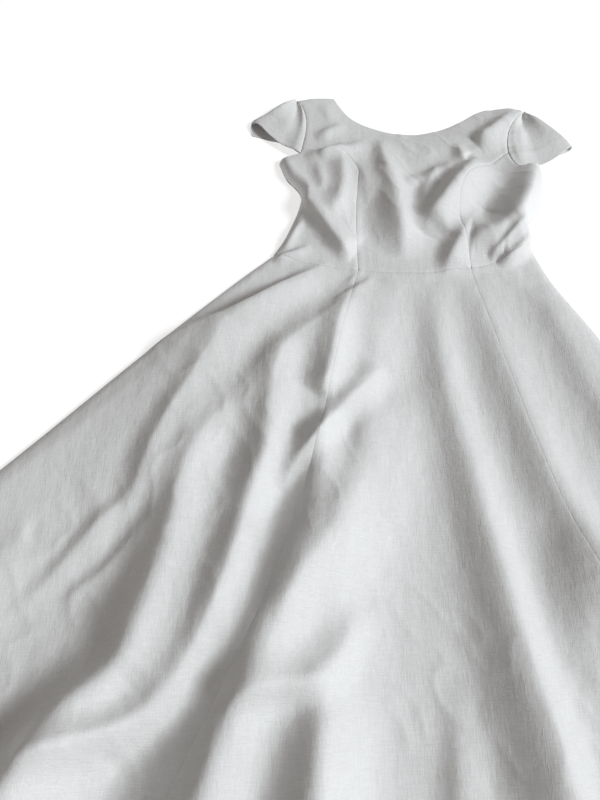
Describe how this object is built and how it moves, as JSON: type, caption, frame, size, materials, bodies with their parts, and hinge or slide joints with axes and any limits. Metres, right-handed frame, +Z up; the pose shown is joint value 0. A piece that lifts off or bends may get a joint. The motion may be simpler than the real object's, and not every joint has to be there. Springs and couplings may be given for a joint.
{
  "type": "a-line dress",
  "caption": "White linen a-line dress laid out flat, face up, with cap sleeves, a wide scoop neck, a seamed bodice and a long flared skirt in soft folds.",
  "frame": {"origin": "on the surface that the dress lies on, under the middle of its waist", "axes": "+Z up out of the surface, +Y from the hem to the neck, +X to the right as seen from above"},
  "size_m": [1.3498, 1.1624, 0.0816],
  "materials": {
    "linen": "matt slubby linen weave, white"
  },
  "bodies": {
    "root": {"bodice_front_centre": "linen", "bodice_front_left": "linen", "bodice_front_right": "linen", "bodice_back": "linen", "sleeve_left": "linen", "sleeve_right": "linen", "skirt_front_left": "linen", "skirt_front_centre": "linen", "skirt_front_right": "linen", "skirt_back": "linen"}
  },
  "joints": []
}
